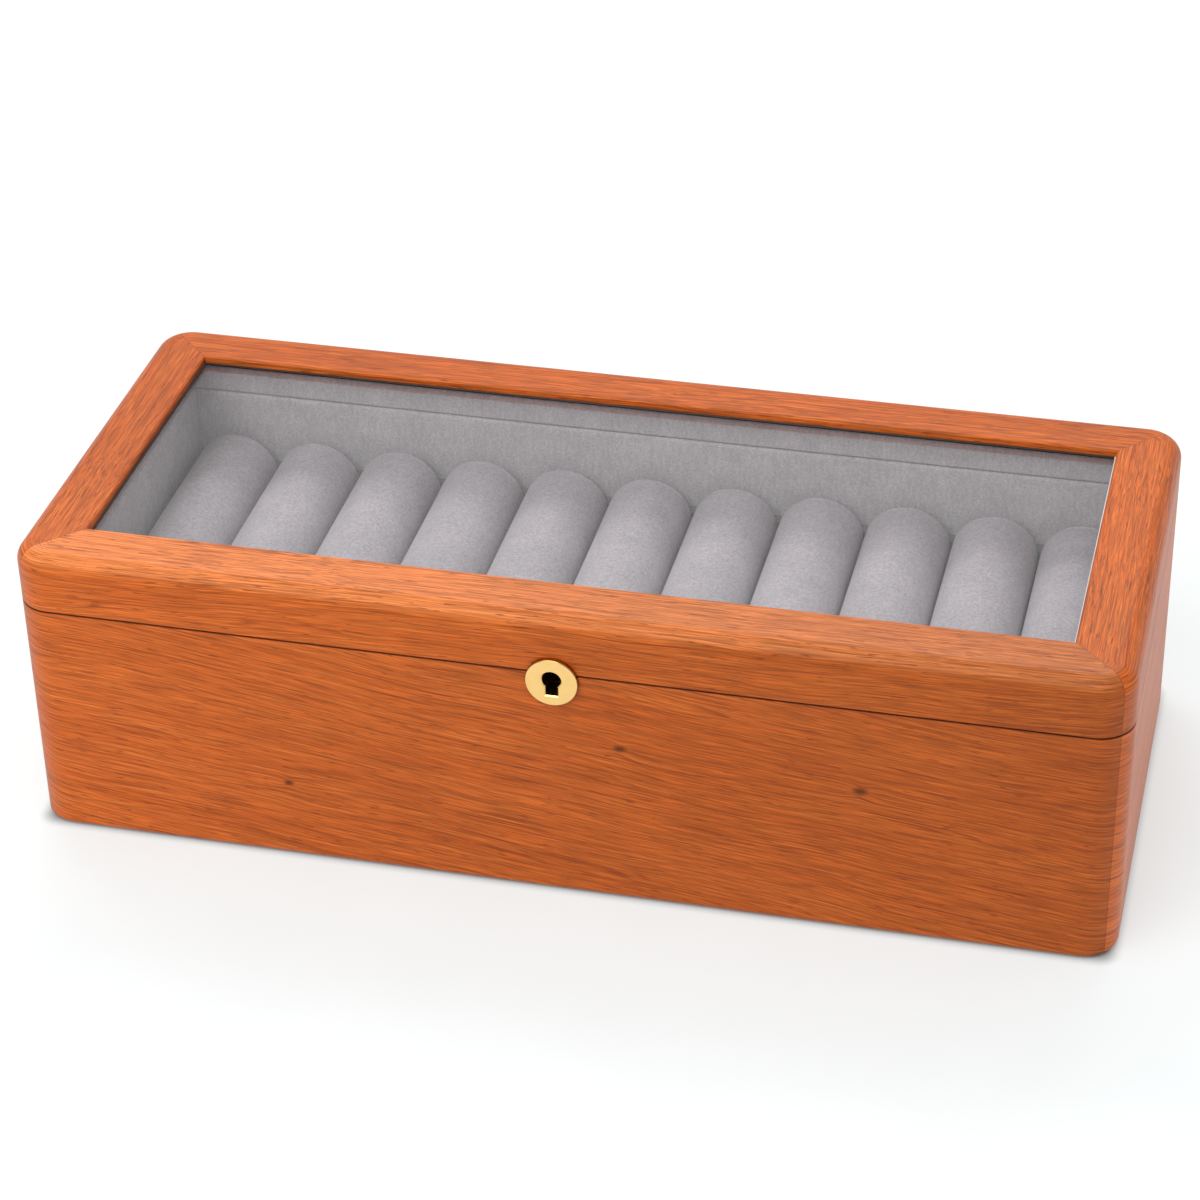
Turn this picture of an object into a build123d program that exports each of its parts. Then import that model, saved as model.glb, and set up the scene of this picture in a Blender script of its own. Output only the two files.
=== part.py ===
from build123d import *

import os

# Bangle box in solid wood with a glazed lid and a row of padded rolls.
#
# The box is a mitred wooden tray, lined with padded panels, under a mitred lid frame that holds
# a sheet of glass. A row of padded rolls lies across the tray, each on a flat tongue at either
# end, in the notches of two rails. Bangles are threaded on the rolls and hang into the free
# space below them. Two butt hinges carry the lid. A lock let into the front wall holds it shut:
# its bolt slides under the noses of two hooks that hang from the lid.
#
# Frame: X runs along the length, Y from the front (-Y, the keyhole) to the back (the hinges),
# and Z up. The origin is the centre of the rectangle that the box covers, on the surface that
# it stands on. All sizes are in millimetres.

# Outer size and shape
BOX_LENGTH = 400.0
BOX_WIDTH = 174.0
BASE_HEIGHT = 95.0
LID_HEIGHT = 22.6
SEAM_GAP = 0.4
CORNER_RADIUS = 13.5
LID_EDGE_RADIUS = 7.0
BASE_EDGE_RADIUS = 1.6
SEAM_EASE = 0.5

# Woodwork
WALL = 12.0
LID_FRAME_WIDTH = 23.0
LID_LIP = 3.5
LIP_EASE = 0.6
FELT_THICKNESS = 1.0
FELT_INSET = 7.0
FELT_CORNER_RADIUS = 8.0
BOTTOM_PANEL = 5.0
RABBET_DEPTH = 6.0
PANEL_GAP = 0.2

# Glass
GLASS_THICKNESS = 3.0
GLASS_GAP = 0.4

# Padded lining
LINER_THICKNESS = 2.7
LINER_GAP = 0.3
LINER_RISE = 3.0
LINER_EDGE_RADIUS = 1.1
PAD_EDGE_SHARE = 0.45  # most of a pad's thickness that its soft edge may take
FLOOR_PAD = 3.0
LID_LINER_GAP = 0.4
PAD_JOINT = 0.1

# Rolls and the rails that carry them
ROLL_PITCH = 33.5
ROLL_GAP = 0.4
ROLL_AXIS_HEIGHT = 66.0
ROLL_END_GAP = 0.6
ROLL_RIM_RADIUS = 1.2
CORE_DIAMETER = 16.0
CORE_FIT = 0.05
TONGUE_WIDTH = 8.0
TONGUE_BELOW_AXIS = 6.0
TONGUE_ABOVE_AXIS = 3.0
TONGUE_END_GAP = 0.6
NOTCH_FIT = 0.25
RAIL_THICKNESS = 5.0

# Hinges
HINGE_SPACING = 240.0
HINGE_LENGTH = 30.0
HINGE_KNUCKLES = 5
KNUCKLE_RADIUS = 2.0
HINGE_PIN_RADIUS = 1.0
PIN_FIT = 0.05
PIN_OVERRUN = 0.4
LEAF_THICKNESS = 1.1
LEAF_WIDTH = 8.5
LEAF_FIT = 0.05
KNUCKLE_END_GAP = 0.1
KNUCKLE_SIDE_ROOM = 0.2
KNUCKLE_CLEARANCE = 0.3
HINGE_SCREW_PITCH = 10.0
HINGE_SCREW_INSET = 4.6

# Lock
LOCK_DROP = 2.5
ESCUTCHEON_RADIUS = 9.5
ESCUTCHEON_THICKNESS = 2.0
ESCUTCHEON_EDGE = 0.6
KEYHOLE_RADIUS = 3.4
KEYHOLE_RISE = 1.0
KEYHOLE_EASE = 0.4
KEY_SLOT_WIDTH = 4.4
KEY_SLOT_DROP = 5.3
BARREL_RADIUS = 6.8
BARREL_CLEARANCE = 0.5
LOCK_CASE_LENGTH = 43.0
LOCK_CASE_HEIGHT = 22.0
LOCK_CASE_WALL = 1.0
LOCK_COVER = 1.0
LOCK_FIT = 0.05
POST_RADIUS = 2.4
POST_INSET = 3.0
BOLT_THICKNESS = 2.4
BOLT_GAP = 0.3
BOLT_BACK_GAP = 0.8
BOLT_END_GAP = 0.5
BOLT_FINGER_HEIGHT = 2.6
BOLT_UPRIGHT = 3.0
TALON_DEPTH = 2.6
TALON_GAP = 0.2
HOOK_NOSE = 2.8
HOOK_NOSE_HEIGHT = 2.0
HOOK_STEM = 2.2
HOOK_THICKNESS = 2.0
HOOK_DROP = 10.5
HOOK_CLEARANCE = 0.5
HOOK_PLATE_LENGTH = 14.0
HOOK_PLATE_WIDTH = 5.0
HOOK_PLATE_THICKNESS = 1.1
HOOK_PLATE_LEAD = 0.3
HOOK_SCREW_INSET = 3.8

# One countersunk wood screw serves the hinges, the lock and the hook plates
SCREW_LENGTH = 8.0
SCREW_RADIUS = 0.9
SCREW_HEAD_RADIUS = 1.9
SCREW_HEAD_DEPTH = 1.0
SCREW_SLOT_WIDTH = 0.5
SCREW_SLOT_DEPTH = 0.4
SCREW_FIT = 0.04

# Heights and faces that several pieces share
rim_z = BASE_HEIGHT
lid_low = rim_z + SEAM_GAP
lid_top = lid_low + LID_HEIGHT
lip_z = lid_top - LID_LIP
glass_low = lip_z - GLASS_THICKNESS
panel_top = FELT_THICKNESS + BOTTOM_PANEL
floor_z = panel_top + FLOOR_PAD
liner_top = rim_z + LINER_RISE
half_length = BOX_LENGTH / 2
half_width = BOX_WIDTH / 2
room_x = half_length - WALL
room_y = half_width - WALL
liner_out_x = room_x - LINER_GAP
liner_out_y = room_y - LINER_GAP
liner_in_x = liner_out_x - LINER_THICKNESS
liner_in_y = liner_out_y - LINER_THICKNESS
roll_radius = (ROLL_PITCH - ROLL_GAP) / 2
rail_face_y = liner_in_y - RAIL_THICKNESS
roll_end_y = rail_face_y - ROLL_END_GAP
tongue_end_y = liner_in_y - TONGUE_END_GAP
hinge_y = half_width
hinge_z = rim_z + SEAM_GAP / 2
lock_z = rim_z - LOCK_DROP
cover_front_y = -room_y - LOCK_COVER
case_front_y = cover_front_y - BOLT_BACK_GAP - BOLT_THICKNESS - BOLT_GAP - LOCK_CASE_WALL
hook_y = cover_front_y - BOLT_BACK_GAP - BOLT_THICKNESS / 2
case_low = rim_z - LOCK_CASE_HEIGHT
hook_low = rim_z - HOOK_DROP
bolt_end_x = LOCK_CASE_LENGTH / 2 - LOCK_CASE_WALL - BOLT_END_GAP
hook_outer_x = bolt_end_x - BOLT_UPRIGHT - HOOK_NOSE - HOOK_CLEARANCE
hook_inner_x = hook_outer_x - HOOK_NOSE - HOOK_STEM
hook_screw_x = hook_inner_x - HOOK_PLATE_LEAD + HOOK_PLATE_LENGTH - HOOK_SCREW_INSET
REACH = 5.0  # how far a cutting block runs past what it cuts


def block(x_span, y_span, z_span):
    """Upright box between the given pairs of coordinates."""
    (x0, x1), (y0, y1), (z0, z1) = x_span, y_span, z_span
    middle = Pos((x0 + x1) / 2, (y0 + y1) / 2, (z0 + z1) / 2)
    return middle * Box(x1 - x0, y1 - y0, z1 - z0)


def rod_y(radius, x, z, y_span):
    """Cylinder along Y."""
    y0, y1 = y_span
    return Pos(x, (y0 + y1) / 2, z) * Rot(90, 0, 0) * Cylinder(radius, y1 - y0)


def rod_x(radius, y, z, x_span):
    """Cylinder along X."""
    x0, x1 = x_span
    return Pos((x0 + x1) / 2, y, z) * Rot(0, 90, 0) * Cylinder(radius, x1 - x0)


def slab(length, width, corner, low, high):
    """Plate with round corners in plan, between two heights."""
    return Pos(0, 0, low) * extrude(RectangleRounded(length, width, corner), high - low)


def top_rim(solid):
    """Outer edges of the highest face."""
    return solid.faces().sort_by(Axis.Z)[-1].outer_wire().edges()


def bottom_rim(solid):
    """Outer edges of the lowest face."""
    return solid.faces().sort_by(Axis.Z)[0].outer_wire().edges()


def screw(length=SCREW_LENGTH, grow=0.0):
    """Countersunk screw with its head's face at the origin, pointing down; grow widens it for a hole."""
    shank = Pos(0, 0, -length / 2) * Cylinder(SCREW_RADIUS + grow, length)
    head = Pos(0, 0, -SCREW_HEAD_DEPTH / 2) * Cone(
        SCREW_RADIUS + grow, SCREW_HEAD_RADIUS + grow, SCREW_HEAD_DEPTH
    )
    body = shank + head
    if grow == 0:
        slot = Box(2 * (SCREW_HEAD_RADIUS + REACH), SCREW_SLOT_WIDTH, 2 * SCREW_SLOT_DEPTH)
        body = body - slot
    return body


def placed_screws(places, grow=0.0):
    """One screw, or one screw hole, for each location."""
    return [place * screw(SCREW_LENGTH, grow) for place in places]


def cut_all(solid, tools):
    """Cuts each tool from the solid in turn."""
    for tool in tools:
        solid = solid - tool
    return solid


def mitred(ring, side, depth):
    """The board of a four-sided ring that lies on one side, cut at 45 degrees at its ends."""
    far_x, far_y = half_length + REACH, half_width + REACH
    near_x, near_y = half_length - depth, half_width - depth
    corners = {
        "front": [(-far_x, -far_y), (far_x, -far_y), (near_x, -near_y), (-near_x, -near_y)],
        "back": [(-far_x, far_y), (-near_x, near_y), (near_x, near_y), (far_x, far_y)],
        "left": [(-far_x, -far_y), (-near_x, -near_y), (-near_x, near_y), (-far_x, far_y)],
        "right": [(far_x, -far_y), (far_x, far_y), (near_x, near_y), (near_x, -near_y)],
    }
    outline = make_face(Polyline(*corners[side], close=True))
    wedge = Pos(0, 0, -REACH) * extrude(outline, lid_top + 2 * REACH)
    return ring & wedge


# Screw places


def hinge_centres():
    """X of the two hinges, by name."""
    return {"left": -HINGE_SPACING / 2, "right": HINGE_SPACING / 2}


def hinge_screw_spots():
    """X and Y of every hinge screw."""
    y = half_width - HINGE_SCREW_INSET
    steps = (-HINGE_SCREW_PITCH, 0.0, HINGE_SCREW_PITCH)
    return [(centre + step, y) for centre in hinge_centres().values() for step in steps]


def base_screw_places():
    """Hinge screws that point down into the rim, and lock screws that point to the front."""
    down = [Pos(x, y, rim_z) for x, y in hinge_screw_spots()]
    post_x = LOCK_CASE_LENGTH / 2 - POST_INSET
    post_z = case_low + POST_INSET
    forward = [Pos(x, -room_y, post_z) * Rot(-90, 0, 0) for x in (-post_x, post_x)]
    return down + forward


def lid_screw_places():
    """Hinge and hook plate screws that point up into the lid."""
    up = [Pos(x, y, lid_low) for x, y in hinge_screw_spots()]
    up += [Pos(x, hook_y, lid_low) for x in (-hook_screw_x, hook_screw_x)]
    return [place * Rot(180, 0, 0) for place in up]


# Hinges


def hinge_segments(centre, owner):
    """X spans of the knuckles that belong to the base leaf or to the lid leaf."""
    step = HINGE_LENGTH / HINGE_KNUCKLES
    start = centre - HINGE_LENGTH / 2
    first = 0 if owner == "base" else 1
    spans = []
    for index in range(first, HINGE_KNUCKLES, 2):
        low = start + index * step
        trim = KNUCKLE_END_GAP if owner == "lid" else 0.0
        spans.append((low + trim, low + step - trim))
    return spans


def hinge_leaf(centre, owner):
    """Plate with its knuckles, bored for the pin."""
    x_span = (centre - HINGE_LENGTH / 2, centre + HINGE_LENGTH / 2)
    if owner == "base":
        z_span = (rim_z - LEAF_THICKNESS, rim_z)
        other = "lid"
    else:
        z_span = (lid_low, lid_low + LEAF_THICKNESS)
        other = "base"
    leaf = block(x_span, (half_width - LEAF_WIDTH, half_width), z_span)
    for low, high in hinge_segments(centre, other):
        room = (low - KNUCKLE_SIDE_ROOM, high + KNUCKLE_SIDE_ROOM)
        leaf = leaf - rod_x(KNUCKLE_RADIUS + KNUCKLE_CLEARANCE, hinge_y, hinge_z, room)
    for span in hinge_segments(centre, owner):
        leaf = leaf + rod_x(KNUCKLE_RADIUS, hinge_y, hinge_z, span)
    run = (x_span[0] - REACH, x_span[1] + REACH)
    leaf = leaf - rod_x(HINGE_PIN_RADIUS + PIN_FIT, hinge_y, hinge_z, run)
    places = base_screw_places() if owner == "base" else lid_screw_places()
    return cut_all(leaf, placed_screws(places, SCREW_FIT))


def hinge_pin(centre):
    """Round pin through all the knuckles."""
    reach = HINGE_LENGTH / 2 + PIN_OVERRUN
    return rod_x(HINGE_PIN_RADIUS, hinge_y, hinge_z, (centre - reach, centre + reach))


def hinge_recesses(owner):
    """What the woodwork gives up for the leaves and knuckles."""
    tools = []
    for centre in hinge_centres().values():
        reach = HINGE_LENGTH / 2 + LEAF_FIT
        x_span = (centre - reach, centre + reach)
        y_span = (half_width - LEAF_WIDTH - LEAF_FIT, half_width + REACH)
        if owner == "base":
            tools.append(block(x_span, y_span, (rim_z - LEAF_THICKNESS, rim_z + REACH)))
        else:
            tools.append(block(x_span, y_span, (lid_low - REACH, lid_low + LEAF_THICKNESS)))
        knuckle_reach = HINGE_LENGTH / 2 + PIN_OVERRUN + KNUCKLE_CLEARANCE
        run = (centre - knuckle_reach, centre + knuckle_reach)
        tools.append(rod_x(KNUCKLE_RADIUS + KNUCKLE_CLEARANCE, hinge_y, hinge_z, run))
    return tools


# Lock


def keyhole(y_span):
    """Round keyhole with the slot for the key's bit below it."""
    y0, y1 = y_span
    round_part = rod_y(KEYHOLE_RADIUS, 0, lock_z + KEYHOLE_RISE, y_span)
    slot = block(
        (-KEY_SLOT_WIDTH / 2, KEY_SLOT_WIDTH / 2),
        (y0, y1),
        (lock_z - KEY_SLOT_DROP, lock_z + KEYHOLE_RISE),
    )
    return round_part + slot


def case_outline(grow, y_span):
    """Outer form of the lock case: a box with a round crown about the barrel."""
    half = LOCK_CASE_LENGTH / 2 + grow
    box = block((-half, half), y_span, (case_low - grow, rim_z))
    return box + rod_y(BARREL_RADIUS + grow, 0, lock_z, y_span)


def hook_spans():
    """X spans of the two hooks, each with its nose on the left."""
    return [(-hook_outer_x, -hook_inner_x), (hook_inner_x, hook_outer_x)]


def hook_slots(z_span):
    """Slots that the hooks pass through, with room for the arc of the lid."""
    half = HOOK_THICKNESS / 2 + HOOK_CLEARANCE
    y_span = (hook_y - half, hook_y + half)
    spans = [(low - HOOK_CLEARANCE, high + HOOK_CLEARANCE) for low, high in hook_spans()]
    return [block(span, y_span, z_span) for span in spans]


def lock_case():
    """Open-backed case with a hollow inside, two posts and slots for the hooks."""
    shell = case_outline(0, (case_front_y, cover_front_y))
    half = LOCK_CASE_LENGTH / 2 - LOCK_CASE_WALL
    hollow_y = (case_front_y + LOCK_CASE_WALL, cover_front_y + REACH)
    shell = shell - block((-half, half), hollow_y, (case_low + LOCK_CASE_WALL, rim_z - LOCK_CASE_WALL))
    shell = shell - rod_y(BARREL_RADIUS - LOCK_CASE_WALL, 0, lock_z, hollow_y)
    post_x = LOCK_CASE_LENGTH / 2 - POST_INSET
    for x in (-post_x, post_x):
        shell = shell + rod_y(POST_RADIUS, x, case_low + POST_INSET, (case_front_y, cover_front_y))
    shell = cut_all(shell, hook_slots((rim_z - LOCK_CASE_WALL - REACH, rim_z + REACH)))
    shell = shell - keyhole((case_front_y - REACH, case_front_y + LOCK_CASE_WALL + REACH))
    return cut_all(shell, placed_screws(base_screw_places(), SCREW_FIT))


def lock_cover():
    """Back plate that closes the case."""
    plate = case_outline(0, (cover_front_y, -room_y))
    return cut_all(plate, placed_screws(base_screw_places(), SCREW_FIT))


def lock_bolt():
    """Flat bolt that slides on the posts: a bar, two fingers and a notch for the key's bit.

    Each finger stops short of a hook's nose, and slides over it by the nose's length.
    """
    bar_span = (case_low + POST_INSET + POST_RADIUS + BOLT_GAP, hook_low - HOOK_CLEARANCE)
    finger_low = hook_low + HOOK_NOSE_HEIGHT + BOLT_GAP
    top = finger_low + BOLT_FINGER_HEIGHT
    y_span = (hook_y - BOLT_THICKNESS / 2, hook_y + BOLT_THICKNESS / 2)
    finger_tips = [low - HOOK_CLEARANCE for low, high in hook_spans()]
    bolt = block((-bolt_end_x, bolt_end_x - HOOK_NOSE - BOLT_UPRIGHT), y_span, bar_span)
    for tip in finger_tips:
        root = tip - HOOK_NOSE
        bolt = bolt + block((root - BOLT_UPRIGHT, root), y_span, (bar_span[0], top))
        bolt = bolt + block((root - BOLT_UPRIGHT, tip), y_span, (finger_low, top))
    cheek = finger_tips[1] - HOOK_NOSE
    bolt = bolt + block((-cheek, cheek), y_span, (bar_span[0], top))
    half = KEY_SLOT_WIDTH / 2 + TALON_GAP
    return bolt - block((-half, half), y_span, (top - TALON_DEPTH, top + REACH))


def escutcheon():
    """Round brass plate on the front face, with the keyhole through it and its edge eased."""
    y_span = (-half_width - ESCUTCHEON_THICKNESS, -half_width)
    disc = rod_y(ESCUTCHEON_RADIUS, 0, lock_z, y_span)
    disc = fillet(disc.faces().sort_by(Axis.Y)[0].outer_wire().edges(), ESCUTCHEON_EDGE)
    plate = disc - keyhole((y_span[0] - REACH, y_span[1] + REACH))
    hole_edge = plate.faces().sort_by(Axis.Y)[0].inner_wires()[0].edges()
    return chamfer(hole_edge, KEYHOLE_EASE)


def lock_barrel():
    """Nose of the lock, from the escutcheon to the case."""
    nose = rod_y(BARREL_RADIUS, 0, lock_z, (-half_width, case_front_y))
    return nose - keyhole((-half_width - REACH, case_front_y + REACH))


def hook_plate_outline(sign, grow, z_span):
    """Plate beside the keyhole, in the lid's lower face; sign is -1 on the left."""
    inner = hook_inner_x - HOOK_PLATE_LEAD - grow
    outer = hook_inner_x - HOOK_PLATE_LEAD + HOOK_PLATE_LENGTH + grow
    x_span = (inner, outer) if sign > 0 else (-outer, -inner)
    half = HOOK_PLATE_WIDTH / 2 + grow
    return block(x_span, (hook_y - half, hook_y + half), z_span)


def hook_plates():
    """Two plates in the lid, each with a hook that hangs down into the lock."""
    y_span = (hook_y - HOOK_THICKNESS / 2, hook_y + HOOK_THICKNESS / 2)
    plates = []
    for sign, (low, high) in zip((-1, 1), hook_spans()):
        plate = hook_plate_outline(sign, 0, (lid_low, lid_low + HOOK_PLATE_THICKNESS))
        stem = block((high - HOOK_STEM, high), y_span, (hook_low, lid_low + HOOK_PLATE_THICKNESS))
        nose = block((low, high), y_span, (hook_low, hook_low + HOOK_NOSE_HEIGHT))
        plates.append(cut_all(plate + stem + nose, placed_screws(lid_screw_places(), SCREW_FIT)))
    return plates


# Woodwork


def base_boards():
    """Four mitred walls, cut for the bottom panel, the hinges and the lock."""
    ring = slab(BOX_LENGTH, BOX_WIDTH, CORNER_RADIUS, FELT_THICKNESS, rim_z)
    ring = fillet(bottom_rim(ring), BASE_EDGE_RADIUS)
    ring = fillet(top_rim(ring), SEAM_EASE)
    ring = ring - block((-room_x, room_x), (-room_y, room_y), (0, rim_z + REACH))
    rabbet_x, rabbet_y = room_x + RABBET_DEPTH, room_y + RABBET_DEPTH
    ring = ring - block((-rabbet_x, rabbet_x), (-rabbet_y, rabbet_y), (0, panel_top))
    boards = {side: mitred(ring, side, WALL + REACH) for side in ("front", "back", "left", "right")}
    lock_room = [
        case_outline(LOCK_FIT, (case_front_y, -room_y + REACH)),
        rod_y(BARREL_RADIUS + LOCK_FIT, 0, lock_z, (-half_width - REACH, case_front_y + REACH)),
    ]
    holes = placed_screws(base_screw_places(), SCREW_FIT)
    boards["front"] = cut_all(boards["front"], lock_room + holes)
    boards["back"] = cut_all(boards["back"], hinge_recesses("base") + holes)
    return boards


def lid_boards():
    """Four mitred rails with a lip over the glass."""
    ring = slab(BOX_LENGTH, BOX_WIDTH, CORNER_RADIUS, lid_low, lid_top)
    ring = fillet(top_rim(ring), LID_EDGE_RADIUS)
    ring = fillet(bottom_rim(ring), SEAM_EASE)
    ring = ring - block((-room_x, room_x), (-room_y, room_y), (0, lip_z))
    open_x = half_length - LID_FRAME_WIDTH
    open_y = half_width - LID_FRAME_WIDTH
    ring = ring - block((-open_x, open_x), (-open_y, open_y), (0, lid_top + REACH))
    flare = extrude(Rectangle(2 * open_x, 2 * open_y), LIP_EASE, taper=-45)
    ring = ring - Pos(0, 0, lid_top - LIP_EASE) * flare
    depth = LID_FRAME_WIDTH + REACH
    boards = {side: mitred(ring, side, depth) for side in ("front", "back", "left", "right")}
    lock_room = [
        rod_y(BARREL_RADIUS + BARREL_CLEARANCE, 0, lock_z, (-half_width - REACH, -room_y + REACH)),
    ]
    for sign in (-1, 1):
        lock_room.append(hook_plate_outline(sign, LOCK_FIT, (rim_z, lid_low + HOOK_PLATE_THICKNESS)))
    holes = placed_screws(lid_screw_places(), SCREW_FIT)
    boards["front"] = cut_all(boards["front"], lock_room + holes)
    boards["back"] = cut_all(boards["back"], hinge_recesses("lid") + holes)
    return boards


def bottom_panel():
    """Thin board let into the walls' rabbet."""
    x = room_x + RABBET_DEPTH - PANEL_GAP
    y = room_y + RABBET_DEPTH - PANEL_GAP
    return block((-x, x), (-y, y), (FELT_THICKNESS, panel_top))


def felt_sheet():
    """Felt under the whole box, which it stands on."""
    length = BOX_LENGTH - 2 * FELT_INSET
    width = BOX_WIDTH - 2 * FELT_INSET
    return slab(length, width, FELT_CORNER_RADIUS, 0, FELT_THICKNESS)


def glass():
    """Sheet of glass under the lid's lip."""
    x, y = room_x - GLASS_GAP, room_y - GLASS_GAP
    return block((-x, x), (-y, y), (glass_low, lip_z))


# Padded lining


def liner_panels(low, high):
    """Four padded panels against the walls, between two heights, with soft top edges."""
    side_y = liner_in_y - PAD_JOINT
    spans = {
        "front": ((-liner_out_x, liner_out_x), (-liner_out_y, -liner_in_y)),
        "back": ((-liner_out_x, liner_out_x), (liner_in_y, liner_out_y)),
        "left": ((-liner_out_x, -liner_in_x), (-side_y, side_y)),
        "right": ((liner_in_x, liner_out_x), (-side_y, side_y)),
    }
    panels = {}
    for side, (x_span, y_span) in spans.items():
        panel = block(x_span, y_span, (low, high))
        along = Axis.X if side in ("front", "back") else Axis.Y
        top = panel.faces().sort_by(Axis.Z)[-1].edges().filter_by(along)
        panels[side] = fillet(top, min(LINER_EDGE_RADIUS, PAD_EDGE_SHARE * LINER_THICKNESS))
    return panels


def floor_pad():
    """Padded panel on the bottom of the tray."""
    x, y = liner_in_x - PAD_JOINT, liner_in_y - PAD_JOINT
    pad = block((-x, x), (-y, y), (panel_top, floor_z))
    return fillet(pad.faces().sort_by(Axis.Z)[-1].edges(), min(LINER_EDGE_RADIUS, PAD_EDGE_SHARE * FLOOR_PAD))


# Rolls


def roll_centres():
    """X of each roll, from left to right: as many as the tray holds side by side."""
    count = int(2 * liner_in_x / ROLL_PITCH)
    first = -(count - 1) / 2 * ROLL_PITCH
    return [first + index * ROLL_PITCH for index in range(count)]


def roll_cover(x):
    """Padded sleeve of one roll, with soft rims, bored for its core."""
    sleeve = rod_y(roll_radius, x, ROLL_AXIS_HEIGHT, (-roll_end_y, roll_end_y))
    sleeve = fillet(sleeve.edges().filter_by(GeomType.CIRCLE), ROLL_RIM_RADIUS)
    bore = rod_y(CORE_DIAMETER / 2 + CORE_FIT, x, ROLL_AXIS_HEIGHT, (-half_width, half_width))
    return sleeve - bore


def roll_core(x):
    """Wooden rod of one roll, with a flat tongue at either end."""
    rod = rod_y(CORE_DIAMETER / 2, x, ROLL_AXIS_HEIGHT, (-roll_end_y, roll_end_y))
    tongue = block(
        (x - TONGUE_WIDTH / 2, x + TONGUE_WIDTH / 2),
        (-tongue_end_y, tongue_end_y),
        (ROLL_AXIS_HEIGHT - TONGUE_BELOW_AXIS, ROLL_AXIS_HEIGHT + TONGUE_ABOVE_AXIS),
    )
    return rod + tongue


def roll_rail(sign):
    """Upright rail with a notch for each roll's tongue; sign is -1 at the front."""
    inner, outer = sorted((sign * rail_face_y, sign * liner_in_y))
    top = ROLL_AXIS_HEIGHT + TONGUE_ABOVE_AXIS
    rail_x = liner_in_x - PAD_JOINT
    rail = block((-rail_x, rail_x), (inner, outer), (floor_z, top))
    half = TONGUE_WIDTH / 2 + NOTCH_FIT
    low = ROLL_AXIS_HEIGHT - TONGUE_BELOW_AXIS - NOTCH_FIT
    for x in roll_centres():
        rail = rail - block((x - half, x + half), (inner - REACH, outer + REACH), (low, top + REACH))
    return rail


def build():
    """Every sub-part of the box, by node name."""
    nodes = {}
    for side, board in base_boards().items():
        nodes[f"base_{side}_wall"] = board
    nodes["base_bottom_panel"] = bottom_panel()
    nodes["base_felt"] = felt_sheet()
    for side, panel in liner_panels(panel_top, liner_top).items():
        nodes[f"tray_liner_{side}"] = panel
    nodes["tray_floor_pad"] = floor_pad()
    nodes["roll_rail_front"] = roll_rail(-1)
    nodes["roll_rail_back"] = roll_rail(1)
    for number, x in enumerate(roll_centres(), start=1):
        nodes[f"roll_cover_{number:02d}"] = roll_cover(x)
        nodes[f"roll_core_{number:02d}"] = roll_core(x)
    for side, board in lid_boards().items():
        nodes[f"lid_{side}_rail"] = board
    nodes["lid_glass"] = glass()
    for side, panel in liner_panels(liner_top + LID_LINER_GAP, glass_low).items():
        nodes[f"lid_liner_{side}"] = panel
    for name, centre in hinge_centres().items():
        nodes[f"hinge_{name}_base_leaf"] = hinge_leaf(centre, "base")
        nodes[f"hinge_{name}_lid_leaf"] = hinge_leaf(centre, "lid")
        nodes[f"hinge_{name}_pin"] = hinge_pin(centre)
    nodes["base_screws"] = Compound(children=placed_screws(base_screw_places()))
    nodes["lid_screws"] = Compound(children=placed_screws(lid_screw_places()))
    nodes["lock_escutcheon"] = escutcheon()
    nodes["lock_barrel"] = lock_barrel()
    nodes["lock_case"] = lock_case()
    nodes["lock_cover"] = lock_cover()
    nodes["lock_bolt"] = lock_bolt()
    nodes["lock_hook_plates"] = Compound(children=hook_plates())
    return nodes


os.makedirs("parts", exist_ok=True)
for node_name, shape in build().items():
    export_step(shape, f"parts/{node_name}.step")
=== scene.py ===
"""Dresses the bangle box: cherry woodwork, glazed lid, suede rolls and linings, and brass fittings.

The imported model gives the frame: the woodwork, the glass and the metal keep their solids and get a
finish, and every padded or fabric solid is replaced by a modelled piece. Lengths of pieces are in
metres. Lengths in finishes are in millimetres, because their patterns are laid out on the object's
coordinates in millimetres.
"""

import logging
import math
from dataclasses import dataclass
from enum import Enum

import bmesh
import bpy
from mathutils import Matrix, Vector, noise


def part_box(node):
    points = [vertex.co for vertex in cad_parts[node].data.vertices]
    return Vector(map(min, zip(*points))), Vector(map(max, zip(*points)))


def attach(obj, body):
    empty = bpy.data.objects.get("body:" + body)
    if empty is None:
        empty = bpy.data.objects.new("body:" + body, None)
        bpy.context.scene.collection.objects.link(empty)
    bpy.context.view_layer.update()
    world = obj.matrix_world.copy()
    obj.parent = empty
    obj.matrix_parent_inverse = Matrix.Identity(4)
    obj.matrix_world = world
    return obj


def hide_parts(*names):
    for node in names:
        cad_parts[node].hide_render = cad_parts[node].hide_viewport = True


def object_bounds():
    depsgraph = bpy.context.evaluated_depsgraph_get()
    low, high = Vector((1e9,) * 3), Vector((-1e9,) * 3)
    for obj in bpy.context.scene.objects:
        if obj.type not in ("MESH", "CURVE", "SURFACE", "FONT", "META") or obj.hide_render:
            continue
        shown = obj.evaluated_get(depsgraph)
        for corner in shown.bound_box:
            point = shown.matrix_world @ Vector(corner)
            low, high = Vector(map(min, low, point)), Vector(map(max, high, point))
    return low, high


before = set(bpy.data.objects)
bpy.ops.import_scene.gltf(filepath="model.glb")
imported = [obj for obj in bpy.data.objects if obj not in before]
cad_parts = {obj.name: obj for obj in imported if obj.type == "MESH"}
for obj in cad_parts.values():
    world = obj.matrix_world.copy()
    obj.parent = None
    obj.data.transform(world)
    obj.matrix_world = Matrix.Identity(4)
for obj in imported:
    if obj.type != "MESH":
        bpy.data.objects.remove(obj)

CAD_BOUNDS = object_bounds()
LOG = logging.getLogger("bangle_box")
MM = 0.001
MERGE = 1e-6
NEARLY_ZERO = 0.001
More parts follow.
